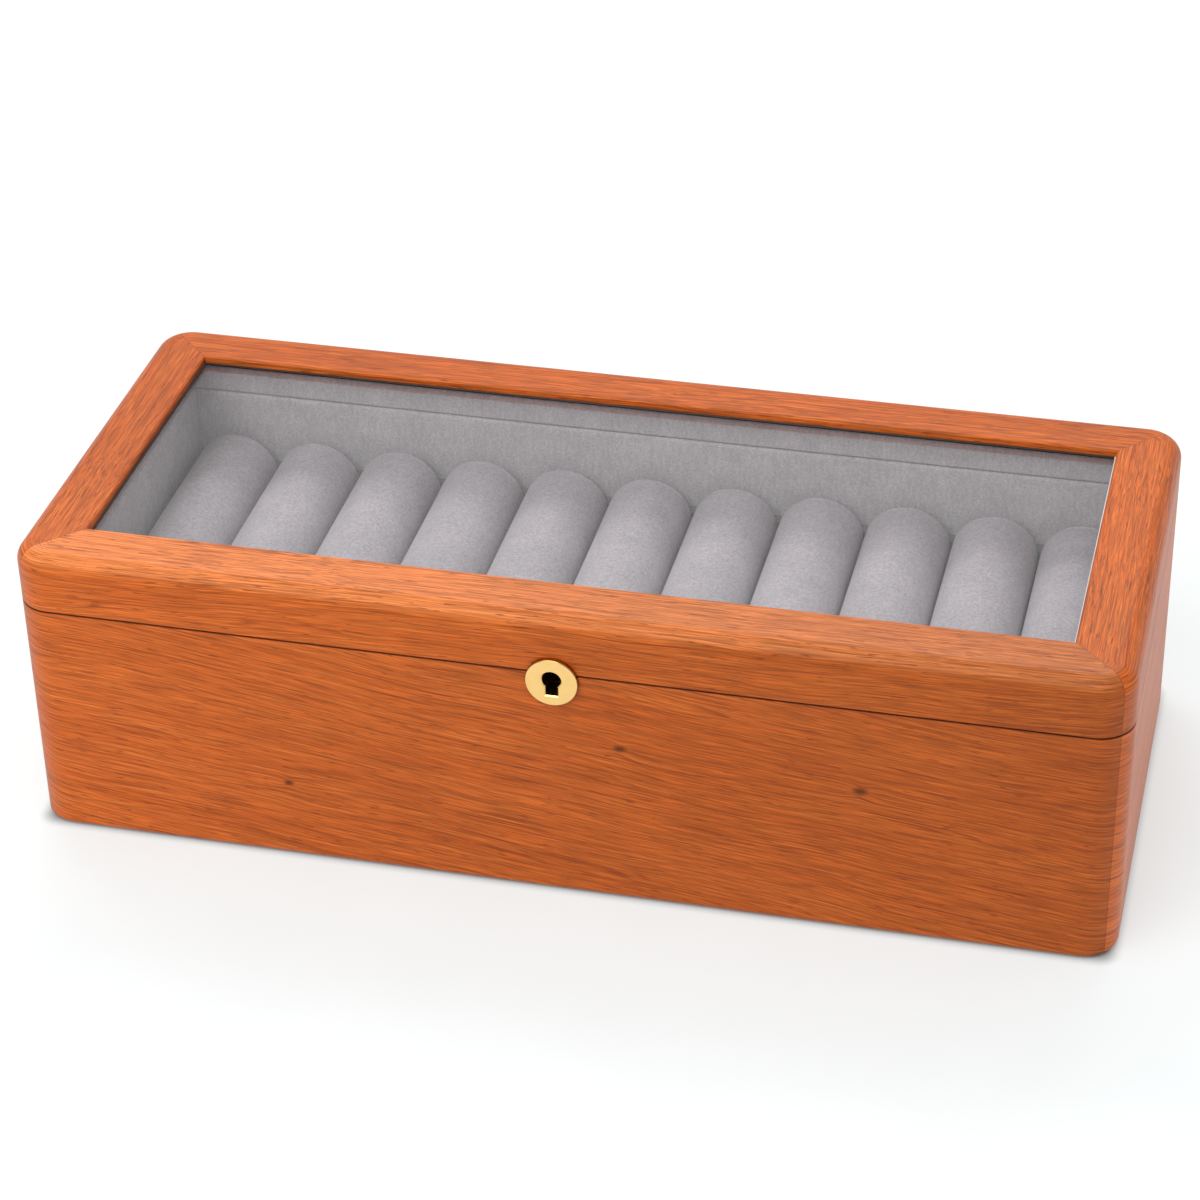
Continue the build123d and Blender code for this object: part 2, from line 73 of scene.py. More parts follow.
WHITE = (1.0, 1.0, 1.0, 1.0)
BLACK = (0.0, 0.0, 0.0, 1.0)


class Run(Enum):
    """Which way a board's grain runs, by the axis of the box."""

    LENGTH = "x"
    DEPTH = "y"


# Shader graphs


@dataclass(frozen=True)
class Span:
    """Smooth step from one range to another, held at the ends.

    Attributes:
        low: value at which the step starts.
        high: value at which it ends.
        least: result up to low.
        most: result from high on.
    """

    low: float
    high: float
    least: float = 0.0
    most: float = 1.0


@dataclass(frozen=True)
class Layer:
    """One layer of wood grain: noise drawn out along the board.

    Attributes:
        length: length of its features along the board, in millimetres.
        width: their width across the grain, in millimetres.
        detail: octaves of the noise.
        rough: weight of the finer octaves.
        step: what the noise is mapped to.
    """

    length: float
    width: float
    detail: float = 2.0
    rough: float = 0.5
    step: Span = Span(0.0, 1.0)


@dataclass
class Graph:
    """Node tree of one material, with short calls for the nodes that the finishes share.

    Attributes:
        material: the material that holds the tree.
    """

    material: bpy.types.Material

    @classmethod
    def start(cls, name: str) -> "Graph":
        """Starts an empty tree.

        Args:
            name: the material's name.

        Returns:
            The graph, with no nodes.
        """
        material = bpy.data.materials.new(name)
        material.use_nodes = True
        material.node_tree.nodes.clear()
        return cls(material)

    def add(self, kind: str, **settings: object) -> bpy.types.Node:
        """Adds a node.

        Args:
            kind: Blender's name of the node's type.
            settings: properties of the node.

        Returns:
            The node.
        """
        node = self.material.node_tree.nodes.new(kind)
        for key, value in settings.items():
            setattr(node, key, value)
        return node

    def feed(self, socket: bpy.types.NodeSocket, value: object) -> None:
        """Feeds a socket.

        Args:
            socket: the input.
            value: an output to link it to, or the socket's own value.
        """
        if isinstance(value, bpy.types.NodeSocket):
            self.material.node_tree.links.new(value, socket)
        else:
            socket.default_value = value

    def math(self, operation: str, *values: object) -> bpy.types.NodeSocket:
        """Adds a maths node.

        Args:
            operation: Blender's name of the operation.
            values: numbers or outputs, in order.

        Returns:
            The node's output.
        """
        node = self.add("ShaderNodeMath", operation=operation)
        for socket, value in zip(node.inputs, values):
            self.feed(socket, value)
        return node.outputs[0]

    def product(self, first: object, *others: object) -> bpy.types.NodeSocket:
        """Multiplies values one after the other.

        Args:
            first: a number or an output.
            others: the further factors.

        Returns:
            The product.
        """
        for value in others:
            first = self.math("MULTIPLY", first, value)
        return first

    def length(self, first: object, second: object) -> bpy.types.NodeSocket:
        """Length of the diagonal over two sides.

        Args:
            first: the one side.
            second: the other side.

        Returns:
            The square root of the sum of their squares.
        """
        squares = self.math("ADD", self.math("MULTIPLY", first, first), self.math("MULTIPLY", second, second))
        return self.math("SQRT", squares)

    def axes(self) -> tuple:
        """Splits the object's own coordinates.

        Returns:
            x, y and z in millimetres.
        """
        place = self.add("ShaderNodeTexCoord").outputs["Object"]
        scale = self.add("ShaderNodeVectorMath", operation="SCALE")
        self.feed(scale.inputs[0], place)
        scale.inputs["Scale"].default_value = 1 / MM
        split = self.add("ShaderNodeSeparateXYZ")
        self.feed(split.inputs[0], scale.outputs[0])
        return tuple(split.outputs)

    def point(self, x: object, y: object, z: object) -> bpy.types.NodeSocket:
        """Joins three values to a vector.

        Args:
            x: the first value.
            y: the second value.
            z: the third value.

        Returns:
            The vector.
        """
        node = self.add("ShaderNodeCombineXYZ")
        for socket, value in zip(node.inputs, (x, y, z)):
            self.feed(socket, value)
        return node.outputs[0]

    def noise(self, place: object, scale: float, detail: float = 2.0,
              rough: float = 0.5) -> bpy.types.NodeSocket:
        """Adds a noise texture.

        Args:
            place: where it is looked up.
            scale: features per unit of length.
            detail: octaves.
            rough: weight of the finer octaves.

        Returns:
            The noise, from 0 to 1.
        """
        node = self.add("ShaderNodeTexNoise")
        self.feed(node.inputs["Vector"], place)
        node.inputs["Scale"].default_value = scale
        node.inputs["Detail"].default_value = detail
        node.inputs["Roughness"].default_value = rough
        return node.outputs[0]

    def step(self, value: object, span: Span) -> bpy.types.NodeSocket:
        """Maps a value smoothly from one range to another.

        Args:
            value: the value.
            span: the two ranges.

        Returns:
            The mapped value.
        """
        node = self.add("ShaderNodeMapRange", interpolation_type="SMOOTHSTEP")
        ends = {"From Min": span.low, "From Max": span.high, "To Min": span.least, "To Max": span.most}
        for name, number in ends.items():
            node.inputs[name].default_value = number
        self.feed(node.inputs["Value"], value)
        return node.outputs[0]

    def mix(self, share: object, first: object, second: object, blend: str = "MIX") -> bpy.types.NodeSocket:
        """Mixes two colours.

        Args:
            share: how much of the second colour is taken.
            first: the one colour.
            second: the other colour.
            blend: Blender's name of the way in which they mix.

        Returns:
            The mixed colour.
        """
        node = self.add("ShaderNodeMix", data_type="RGBA", blend_type=blend)
        colours = [socket for socket in node.inputs if socket.type == "RGBA"]
        self.feed(node.inputs["Factor"], share)
        self.feed(colours[0], first)
        self.feed(colours[1], second)
        return [socket for socket in node.outputs if socket.type == "RGBA"][0]

    def shaded(self, colour: object, shade: object) -> bpy.types.NodeSocket:
        """Makes a colour lighter or darker.

        Args:
            colour: the colour.
            shade: the factor on it.

        Returns:
            The new colour.
        """
        return self.mix(1.0, colour, self.point(shade, shade, shade), "MULTIPLY")

    def bump(self, height: object, depth: float) -> bpy.types.NodeSocket:
        """Turns a height from 0 to 1 into a normal.

        Args:
            height: the height's output.
            depth: how deep a height of 1 is, in metres.

        Returns:
            The new normal.
        """
        node = self.add("ShaderNodeBump")
        node.inputs["Strength"].default_value = 1.0
        node.inputs["Distance"].default_value = depth
        self.feed(node.inputs["Height"], height)
        return node.outputs[0]

    def close(self, shader: bpy.types.NodeSocket) -> bpy.types.Material:
        """Joins a shader to the output.

        Args:
            shader: the shader's output.

        Returns:
            The finished material.
        """
        output = self.add("ShaderNodeOutputMaterial")
        self.feed(output.inputs["Surface"], shader)
        return self.material

    def principled(self, constants: dict, **linked: object) -> bpy.types.Material:
        """Ends the tree with a Principled shader.

        Args:
            constants: sockets that hold one number or colour.
            linked: outputs for the sockets colour, roughness, normal and glow.

        Returns:
            The finished material.
        """
        shader = self.add("ShaderNodeBsdfPrincipled")
        for name, value in constants.items():
            shader.inputs[name].default_value = value
        names = {"colour": "Base Color", "roughness": "Roughness", "normal": "Normal", "glow": "Emission Color"}
        for key, value in linked.items():
            self.feed(shader.inputs[names[key]], value)
        return self.close(shader.outputs[0])


# Finishes


@dataclass(frozen=True)
class Knot:
    """Pin knot in a board.

    Attributes:
        along: its place along the outside of the box, in millimetres.
        up: its height, in millimetres.
        radius: its size, in millimetres.
        squash: factor on distances along the grain, which draws the knot out that way.
    """

    along: float
    up: float
    radius: float
    squash: float = 0.6

    def gap(self, graph: Graph, along: object, up: object) -> bpy.types.NodeSocket:
        """Distance from the knot, drawn out along the grain.

        Args:
            graph: the material's graph.
            along: distance along the outside of the box.
            up: height.

        Returns:
            The distance, in millimetres.
        """
        side = graph.math("MULTIPLY", graph.math("SUBTRACT", along, self.along), self.squash)
        return graph.length(side, graph.math("SUBTRACT", up, self.up))

    def swirl(self, graph: Graph, along: object, up: object, rise: object) -> bpy.types.NodeSocket:
        """Bends the grain away from the middle of the knot.

        Args:
            graph: the material's graph.
            along: distance along the outside of the box.
            up: height.
            rise: height across the grain so far.

        Returns:
            The bent height.
        """
        gap = self.gap(graph, along, up)
        push = graph.step(gap, Span(0.0, self.radius * 6.0, self.radius * 1.6, 0.0))
        side = graph.math("DIVIDE", graph.math("SUBTRACT", up, self.up), graph.math("MAXIMUM", gap, 0.4))
        return graph.math("MULTIPLY_ADD", push, side, rise)

    def stain(self, graph: Graph, along: object, up: object) -> bpy.types.NodeSocket:
        """Share of the knot's own colour, which fades out round it."""
        fade = Span(self.radius * 0.3, self.radius * 2.2, 0.8, 0.0)
        return graph.step(self.gap(graph, along, up), fade)


@dataclass(frozen=True)
class Cherry:
    """Satin-lacquered cherry whose grain follows the outside of the box round its corners.

    Attributes:
        name: the material's name.
        run: the way in which the board lies.
        seed: where in the tree the board was cut, in millimetres.
        drift: fall of the grain along the board, in millimetres per millimetre.
        tone: factor on the colour.
        fade: how much darker the board's right or back end is painted than its other end, as painted shade of
            light that falls off along the board.
        top_highlight: share of painted highlight on the top round-over and top face, where the light from above
            catches the finish.
        knots: the board's pin knots.
        seam: height of the seam between tray and lid, where shade is painted dark into the finish.
        half_length: half of the box's length.
        half_width: half of its width.
        corner: radius of its upright corners.
        ring: width of one growth ring.
        light: colour of the palest bands.
        deep: colour of the deepest bands.
        pale: colour of the fine streaks.
        dark: colour of ring edges, threads, pores and mitres.
        knot: colour of knots, and of the painted shade in the seam.
        highlight_colour: colour of the painted highlight.
        bands, streaks, fibres, hairs, threads, pores: layers of the grain, from broad to fine.
        clouds: scale and step of the slow change of shade.
        wave: scale, stretch across the grain and reach of the grain's wander.
        lean: growth rings passed per ring's width of depth and of rise.
        bends: layers that bend the growth rings, with the rings that each bends them by.
        thick_line: where the dark edges of the rings show.
        thin_line: where the thin lines between them show.
        thin_share: thin lines per ring.
        pore_share: share of dark in a pore.
        fibre_height: height of a fibre, as a share of a pore's depth.
        mitre_line: share of dark by the distance from the mitre.
        seam_line: share of painted shade by the distance from the seam.
        seam_reach: share of it by the depth below the outer face.
        highlight_heights: heights between which the painted highlight sets in.
        gloss: roughness over the fibres.
        relief: depth of the grain's relief, in metres.
    """

    name: str
    run: Run
    seed: float
    drift: float = 0.0
    tone: float = 1.0
    fade: float = 0.0
    top_highlight: float = 0.0
    knots: tuple = ()
    seam: float = 95.2
    half_length: float = 200.0
    half_width: float = 87.0
    corner: float = 13.5
    ring: float = 2.3
    light: tuple = (0.50, 0.104, 0.0145, 1.0)
    deep: tuple = (0.45, 0.086, 0.0105, 1.0)
    pale: tuple = (0.61, 0.165, 0.030, 1.0)
    dark: tuple = (0.135, 0.017, 0.003, 1.0)
    knot: tuple = (0.04, 0.008, 0.004, 1.0)
    highlight_colour: tuple = (0.77, 0.255, 0.08, 1.0)
    bands: Layer = Layer(150.0, 12.0, step=Span(0.34, 0.66))
    streaks: Layer = Layer(60.0, 0.9, step=Span(0.5, 0.68, 0.0, 0.4))
    fibres: Layer = Layer(24.0, 0.6, rough=0.6, step=Span(0.40, 0.62, 0.82, 1.16))
    hairs: Layer = Layer(13.0, 0.28, detail=1.0, step=Span(0.38, 0.62, 0.84, 1.13))
    threads: Layer = Layer(36.0, 0.8, detail=1.0, step=Span(0.58, 0.63, 0.0, 0.4))
    pores: Layer = Layer(8.0, 0.6, detail=1.0, step=Span(0.65, 0.70))
    clouds: tuple = (0.014, Span(0.3, 0.7, 0.96, 1.04))
    wave: tuple = (0.007, 1.6, 13.0)
    lean: tuple = (0.85, 0.75)
    bends: tuple = ((Layer(170.0, 16.0, 1.0), 7.0), (Layer(50.0, 3.0), 0.9))
    thick_line: Layer = Layer(90.0, 6.0, step=Span(0.4, 0.62, 0.08, 0.46))
    thin_line: Layer = Layer(40.0, 2.5, step=Span(0.45, 0.65, 0.05, 0.42))
    thin_share: float = 2.6
    pore_share: float = 0.65
    fibre_height: float = 0.4
    mitre_line: Span = Span(0.05, 0.35, 0.5, 0.0)
    seam_line: Span = Span(0.3, 0.55, 0.9, 0.0)
    seam_reach: Span = Span(0.3, 0.8, 1.0, 0.0)
    highlight_heights: tuple = (112.0, 116.5)
    gloss: Span = Span(0.3, 0.7, 0.36, 0.45)
    relief: float = 0.000014

    def build(self) -> bpy.types.Material:
        """Builds the material.

        Returns:
            The finished material.
        """
        graph = Graph.start(self.name)
        x, y, z = graph.axes()
        along, depth, mitre = self.unrolled(graph, x, y)
        rise = graph.math("MULTIPLY_ADD", along, self.drift, z)
        for knot in self.knots:
            rise = knot.swirl(graph, along, z, rise)
        shifted = graph.math("ADD", along, self.seed)
        scale, stretch, reach = self.wave
        wander = graph.noise(graph.point(shifted, depth, graph.math("MULTIPLY", rise, stretch)), scale)
        rise = graph.math("MULTIPLY_ADD", wander, reach, rise)
        place = graph.point(shifted, depth, rise)

        colour = graph.mix(self.mapped(graph, place, self.bands), self.deep, self.light)
        colour = graph.mix(self.mapped(graph, place, self.streaks), colour, self.pale)
        fibres = self.drawn(graph, place, self.fibres)
        scale, step = self.clouds
        clouds = graph.noise(graph.point(shifted, depth, z), scale)
        # The shade factor holds the fibres, hairs and clouds of the grain, and painted shade that falls off along
        # the board.
        shade = graph.product(graph.step(fibres, self.fibres.step), self.mapped(graph, place, self.hairs),
                              graph.step(clouds, step), self.painted_falloff(graph, along))
        # Painted highlight: the top of the board is paled towards a lighter colour, as the light catches the top
        # round-over.
        colour = graph.mix(graph.step(z, Span(*self.highlight_heights, 0.0, self.top_highlight)), colour, self.highlight_colour)
        colour = graph.shaded(colour, shade)

        colour = graph.mix(self.rings(graph, place, rise, depth), colour, self.dark)
        colour = graph.mix(self.mapped(graph, place, self.threads), colour, self.dark)
        pores = self.mapped(graph, place, self.pores)
        colour = graph.mix(graph.math("MULTIPLY", pores, self.pore_share), colour, self.dark)
        colour = graph.mix(graph.step(mitre, self.mitre_line), colour, self.dark)
        # Painted shade in the seam between tray and lid, in the knots' dark colour.
        colour = graph.mix(self.seam_shade(graph, z, depth), colour, self.knot)
        for knot in self.knots:
            colour = graph.mix(knot.stain(graph, along, z), colour, self.knot)
        height = graph.math("SUBTRACT", graph.math("MULTIPLY", fibres, self.fibre_height), pores)
        return graph.principled(
            {"IOR": 1.4, "Specular Tint": (0.9, 0.6, 0.4, 1.0)},
            colour=colour, roughness=graph.step(fibres, self.gloss), normal=graph.bump(height, self.relief),
        )

    def drawn(self, graph: Graph, place: object, layer: Layer) -> bpy.types.NodeSocket:
        """Draws the noise of one layer of the grain.

        Args:
            graph: the material's graph.
            place: where in the board it is looked up.
            layer: the layer.

        Returns:
            The noise, from 0 to 1.
        """
        stretch = graph.add("ShaderNodeVectorMath", operation="MULTIPLY")
        graph.feed(stretch.inputs[0], place)
        stretch.inputs[1].default_value = (1 / layer.length, 1 / layer.width, 1 / layer.width)
        return graph.noise(stretch.outputs[0], 1.0, layer.detail, layer.rough)

    def mapped(self, graph: Graph, place: object, layer: Layer) -> bpy.types.NodeSocket:
        """Draws one layer of the grain and maps it by the layer's own step."""
        return graph.step(self.drawn(graph, place, layer), layer.step)

    def painted_falloff(self, graph: Graph, along: object) -> bpy.types.NodeSocket:
        """Factor on the colour, which falls slowly along the board: painted shade, darker towards the right or
        back end.

        Args:
            graph: the material's graph.
            along: distance along the outside of the box.

        Returns:
            The factor.
        """
        half = self.half_length if self.run is Run.LENGTH else self.half_width
        slope = -self.tone * self.fade / (2 * half)
        return graph.math("MULTIPLY_ADD", along, slope, self.tone * (1 - self.fade / 2))

    def seam_shade(self, graph: Graph, z: object, depth: object) -> bpy.types.NodeSocket:
        """Share of painted shade in the narrow seam between tray and lid, just inside the outer face.

        Args:
            graph: the material's graph.
            z: height.
            depth: depth below the outside of the box.

        Returns:
            The share.
        """
        gap = graph.math("ABSOLUTE", graph.math("SUBTRACT", z, self.seam))
        return graph.math("MULTIPLY", graph.step(gap, self.seam_line), graph.step(depth, self.seam_reach))

    def rings(self, graph: Graph, place: object, rise: object, depth: object) -> bpy.types.NodeSocket:
        """Share of dark at the edges of the growth rings.

        Args:
            graph: the material's graph.
            place: where in the board it is looked up.
            rise: height across the grain.
            depth: depth below the outside of the box.

        Returns:
            The share, from 0 to about a half.
        """
        by_depth, by_rise = self.lean
        across = graph.math("MULTIPLY_ADD", depth, by_depth, graph.math("MULTIPLY", rise, by_rise))
        count = graph.math("DIVIDE", across, self.ring)
        for layer, reach in self.bends:
            count = graph.math("MULTIPLY_ADD", self.drawn(graph, place, layer), reach, count)
        edge = graph.math("FRACT", count)
        thick = graph.product(graph.step(edge, Span(0.72, 0.94)), graph.step(edge, Span(0.94, 1.0, 1.0, 0.0)),
                              self.mapped(graph, place, self.thick_line))
        thin = graph.math("FRACT", graph.math("MULTIPLY", count, self.thin_share))
        middle = graph.math("ABSOLUTE", graph.math("SUBTRACT", thin, 0.5))
        thin = graph.math("MULTIPLY", graph.step(middle, Span(0.0, 0.2, 1.0, 0.0)),
                          self.mapped(graph, place, self.thin_line))
        return graph.math("MAXIMUM", thick, thin)

    def unrolled(self, graph: Graph, x: object, y: object) -> tuple:
        """Distance along the outside of the box, depth below it, and distance from the mitre.

        Args:
            graph: the material's graph.
            x: the first coordinate.
            y: the second coordinate.

        Returns:
            The three distances, in millimetres.
        """
        flat_x = self.half_length - self.corner
        flat_y = self.half_width - self.corner
        past_x = graph.math("SUBTRACT", graph.math("ABSOLUTE", x), flat_x)
        past_y = graph.math("SUBTRACT", graph.math("ABSOLUTE", y), flat_y)
        out_x = graph.math("MAXIMUM", past_x, 0.0)
        out_y = graph.math("MAXIMUM", past_y, 0.0)
        inner = graph.math("MINIMUM", graph.math("MAXIMUM", past_x, past_y), 0.0)
        depth = graph.math("SUBTRACT", self.corner, graph.math("ADD", graph.length(out_x, out_y), inner))
        mitre = graph.math("ABSOLUTE", graph.math("SUBTRACT", past_x, past_y))
        if self.run is Run.LENGTH:
            own, flat, near, far, turn = x, flat_x, out_x, out_y, 0.0
        else:
            own, flat, near, far = y, flat_y, out_y, out_x
            turn = flat_x + flat_y + self.corner * math.pi / 2
        angle = graph.math("ARCTAN2", near, graph.math("MAXIMUM", far, NEARLY_ZERO))
        on_corner = graph.math("GREATER_THAN", graph.math("MINIMUM", out_x, out_y), 0.0)
        reach = graph.math("MINIMUM", graph.math("ABSOLUTE", own), flat)
        arc = graph.product(angle, on_corner, self.corner)
        along = graph.math("MULTIPLY", graph.math("ADD", arc, reach), graph.math("SIGN", own))
        return graph.math("ADD", along, turn), depth, mitre


@dataclass(frozen=True)
class Suede:
    """Grey microsuede: a fine nap, faint clouds where the nap lies another way, and a soft sheen.

    Attributes:
        name: the material's name.
        colour: its mean colour.
        strokes: how far the nap is drawn out upwards, as brushed on the flat panels.
        relief: depth of the nap, in metres.
    """

    name: str
    colour: tuple = (0.415, 0.385, 0.41, 1.0)
    strokes: float = 1.0
    relief: float = 0.00012

    def build(self) -> bpy.types.Material:
        """Builds the material.

        Returns:
            The finished material.
        """
        graph = Graph.start(self.name)
        x, y, z = graph.axes()
        place = graph.point(x, y, z)
        clouds = graph.noise(place, 0.07, 3.0, 0.6)
        nap = graph.noise(graph.point(x, y, graph.math("DIVIDE", z, self.strokes)), 0.6, 2.0, 0.6)
        fine = graph.noise(place, 1.1, 3.0, 0.75)
        shade = graph.product(graph.step(clouds, Span(0.3, 0.7, 0.94, 1.06)),
                              graph.step(nap, Span(0.35, 0.65, 0.94, 1.06)),
                              graph.step(fine, Span(0.36, 0.64, 0.85, 1.14)))
        height = graph.math("MULTIPLY_ADD", nap, 0.6, fine)
        return graph.principled(
            {"Roughness": 0.9, "Sheen Weight": 0.25, "Sheen Roughness": 0.45, "Specular IOR Level": 0.2},
            colour=graph.shaded(self.colour, shade), normal=graph.bump(height, self.relief),
        )


@dataclass(frozen=True)
class Brass:
    """Polished pale brass with a faint haze, fine brushing and painted shade on the rim about the lock.

    Attributes:
        name: the material's name.
        centre: x and z of the lock's middle, in millimetres.
        rim: radii between which the plate about the lock is painted darker, as shade.
        colour: colour of the metal without haze.
        warm: colour of the haze.
        shaded: colour of the painted shade on the rim.
    """

    name: str = "polished_brass"
    centre: tuple = (0.0, 92.5)
    rim: tuple = (9.15, 10.65)
    colour: tuple = (0.92, 0.60, 0.235, 1.0)
    warm: tuple = (0.86, 0.53, 0.185, 1.0)
    shaded: tuple = (0.40, 0.22, 0.065, 1.0)

    def build(self) -> bpy.types.Material:
        """Builds the material.

        Returns:
            The finished material.
        """
        graph = Graph.start(self.name)
        x, y, z = graph.axes()
        haze = graph.noise(graph.point(x, y, z), 0.3, 3.0, 0.6)
        marks = graph.noise(graph.point(x, graph.math("MULTIPLY", y, 12.0), z), 2.6)
        colour = graph.mix(graph.step(haze, Span(0.3, 0.7, 0.0, 0.35)), self.colour, self.warm)
        # Painted shade: a darker ring on the plate's rim about the lock.
        radius = graph.length(graph.math("SUBTRACT", x, self.centre[0]), graph.math("SUBTRACT", z, self.centre[1]))
        inner, outer = self.rim
        rim = graph.math("MULTIPLY", graph.step(radius, Span(inner, inner + 0.2)),
                         graph.step(radius, Span(outer, outer + 0.2, 1.0, 0.0)))
        return graph.principled({"Metallic": 1.0}, colour=graph.mix(rim, colour, self.shaded),
                                roughness=graph.step(haze, Span(0.25, 0.75, 0.17, 0.25)),
                                normal=graph.bump(marks, 0.000008))


@dataclass(frozen=True)
class LockShadeBrass:
    """Brass of the lock's inside, painted dark as the shade inside the keyhole.

    Attributes:
        name: the material's name.
        paler_shade: the paler of its two painted shade colours.
        deeper_shade: the darker of them.
    """

    name: str = "dull_brass"
    paler_shade: tuple = (0.16, 0.095, 0.035, 1.0)
    deeper_shade: tuple = (0.035, 0.022, 0.012, 1.0)

    def build(self) -> bpy.types.Material:
        """Builds the material.

        Returns:
            The finished material.
        """
        graph = Graph.start(self.name)
        x, y, z = graph.axes()
        lock_mottle = graph.noise(graph.point(x, y, z), 0.35, 4.0, 0.65)
        # Painted shade: both colours are dark, for the shadow inside the keyhole.
        colour = graph.mix(graph.step(lock_mottle, Span(0.35, 0.65)), self.paler_shade, self.deeper_shade)
        roughness = graph.step(lock_mottle, Span(0.3, 0.7, 0.35, 0.6))
        return graph.principled({"Metallic": 1.0}, colour=colour, roughness=roughness,
                                normal=graph.bump(lock_mottle, 0.00002))


@dataclass(frozen=True)
class Pane:
    """Clear glass pane, which lets light through and mirrors at its outer faces.

    Attributes:
        name: the material's name.
        tint: its colour in the light that passes.
        ior: index that gives one face the gloss of both faces of a real pane.
    """

    name: str = "clear_glass"
    tint: tuple = (0.975, 0.975, 0.975, 1.0)
    ior: float = 1.75

    def build(self) -> bpy.types.Material:
        """Builds the material.

        Returns:
            The finished material.
        """
        graph = Graph.start(self.name)
        clear = graph.add("ShaderNodeBsdfTransparent")
        clear.inputs["Color"].default_value = self.tint
        mirror = graph.add("ShaderNodeBsdfPrincipled")
        for name, value in (("Base Color", WHITE), ("Metallic", 1.0), ("Roughness", 0.0)):
            mirror.inputs[name].default_value = value
        fresnel = graph.add("ShaderNodeFresnel")
        fresnel.inputs["IOR"].default_value = self.ior
        outer = graph.math("SUBTRACT", 1.0, graph.add("ShaderNodeNewGeometry").outputs["Backfacing"])
        mixed = graph.add("ShaderNodeMixShader")
        graph.feed(mixed.inputs[0], graph.math("MULTIPLY", fresnel.outputs[0], outer))
        graph.feed(mixed.inputs[1], clear.outputs[0])
        graph.feed(mixed.inputs[2], mirror.outputs[0])
        return graph.close(mixed.outputs[0])


@dataclass(frozen=True)
class ShadowBeadPaint:
    """Finish of the bead on the glass: a dark painted shadow under the lip, and a pale painted highlight along the
    right end.

    Attributes:
        name: the material's name.
        light: paler colour of the painted shadow.
        dark: darker colour of the painted shadow.
        bare: colour of the painted highlight.
        edge_highlight_from: x from which the bead carries the painted highlight, in millimetres.
    """

    name: str = "stained_bead"
    light: tuple = (0.035, 0.016, 0.010, 1.0)
    dark: tuple = (0.015, 0.007, 0.005, 1.0)
    bare: tuple = (0.70, 0.72, 0.72, 1.0)
    edge_highlight_from: float = 176.3

    def build(self) -> bpy.types.Material:
        """Builds the material.

        Returns:
            The finished material.
        """
        graph = Graph.start(self.name)
        x, y, z = graph.axes()
        mottle = graph.noise(graph.point(x, y, z), 0.8)
        # Painted shadow under the lip, then a pale painted highlight along the right end.
        colour = graph.mix(graph.step(mottle, Span(0.3, 0.7)), self.dark, self.light)
        colour = graph.mix(graph.step(x, Span(self.edge_highlight_from - 0.1, self.edge_highlight_from)), colour, self.bare)
        return graph.principled({"Roughness": 0.6}, colour=colour, normal=graph.bump(mottle, 0.00002))


@dataclass(frozen=True)
class Timber:
    """Bare pale timber of the hidden boards and cores.

    Attributes:
        name: the material's name.
        pale: colour of the early wood.
        dark: colour of the late wood.
    """

    name: str = "bare_timber"
    pale: tuple = (0.62, 0.44, 0.25, 1.0)
    dark: tuple = (0.46, 0.29, 0.14, 1.0)

    def build(self) -> bpy.types.Material:
        """Builds the material.

        Returns:
            The finished material.
        """
        graph = Graph.start(self.name)
        x, y, z = graph.axes()
        place = graph.point(graph.math("MULTIPLY", x, 0.9), graph.math("MULTIPLY", y, 0.05), z)
        rings = graph.noise(place, 0.6, 3.0, 0.6)
        colour = graph.mix(graph.step(rings, Span(0.35, 0.65)), self.pale, self.dark)
        return graph.principled({"Roughness": 0.7}, colour=colour, normal=graph.bump(rings, 0.00004))


@dataclass(frozen=True)
class Felt:
    """Matt black felt under the box, with matted fibres.

    Attributes:
        name: the material's name.
        colour: its mean colour.
    """

    name: str = "black_felt"
    colour: tuple = (0.02, 0.02, 0.022, 1.0)

    def build(self) -> bpy.types.Material:
        """Builds the material.

        Returns:
            The finished material.
        """
        graph = Graph.start(self.name)
        x, y, z = graph.axes()
        mat = graph.noise(graph.point(x, y, z), 1.2, 4.0, 0.7)
        colour = graph.shaded(self.colour, graph.step(mat, Span(0.2, 0.8, 0.6, 1.5)))
        return graph.principled({"Roughness": 1.0, "Sheen Weight": 0.4}, colour=colour,
                                normal=graph.bump(mat, 0.00015))


# Pieces


def dress(node: str, material: bpy.types.Material) -> None:
    """Gives a CAD node its finish.

    Args:
        node: the node's name.
        material: the finish.
    """
    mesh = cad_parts[node].data
    if not mesh.materials:
        mesh.materials.append(material)
    for index in range(len(mesh.materials)):
        mesh.materials[index] = material


def soften(shape: bmesh.types.BMesh, edges: list, offset: float, segments: int, held: bool = False) -> None:
    """Rounds edges.

    Args:
        shape: the geometry.
        edges: the edges to round.
        offset: how far the rounding reaches from each edge.
        segments: facets across it.
        held: whether roundings that would meet are held back.
    """
    bmesh.ops.bevel(shape, geom=edges, offset=offset, offset_type="OFFSET", segments=segments, profile=0.5,
                    affect="EDGES", material=-1, clamp_overlap=held)


def finish_piece(name: str, shape: bmesh.types.BMesh, material: bpy.types.Material, body: str,
                 replaced: tuple) -> bpy.types.Object:
    """Turns a bmesh into a piece of the box.

    Args:
        name: the piece's name.
        shape: its geometry, which is freed.
        material: its finish.
        body: the CAD body that it rides on.
        replaced: the CAD nodes that it stands for.

    Returns:
        The new object.
    """
    bmesh.ops.remove_doubles(shape, verts=shape.verts, dist=MERGE)
    bmesh.ops.recalc_face_normals(shape, faces=shape.faces)
    mesh = bpy.data.meshes.new(name)
    shape.to_mesh(mesh)
    shape.free()
    mesh.materials.append(material)
    for polygon in mesh.polygons:
        polygon.use_smooth = True
    piece = bpy.data.objects.new(name, mesh)
    bpy.context.scene.collection.objects.link(piece)
    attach(piece, body)
    if replaced:
        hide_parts(*replaced)
    LOG.info("%s: %d faces on %s", name, len(mesh.polygons), body)
    return piece


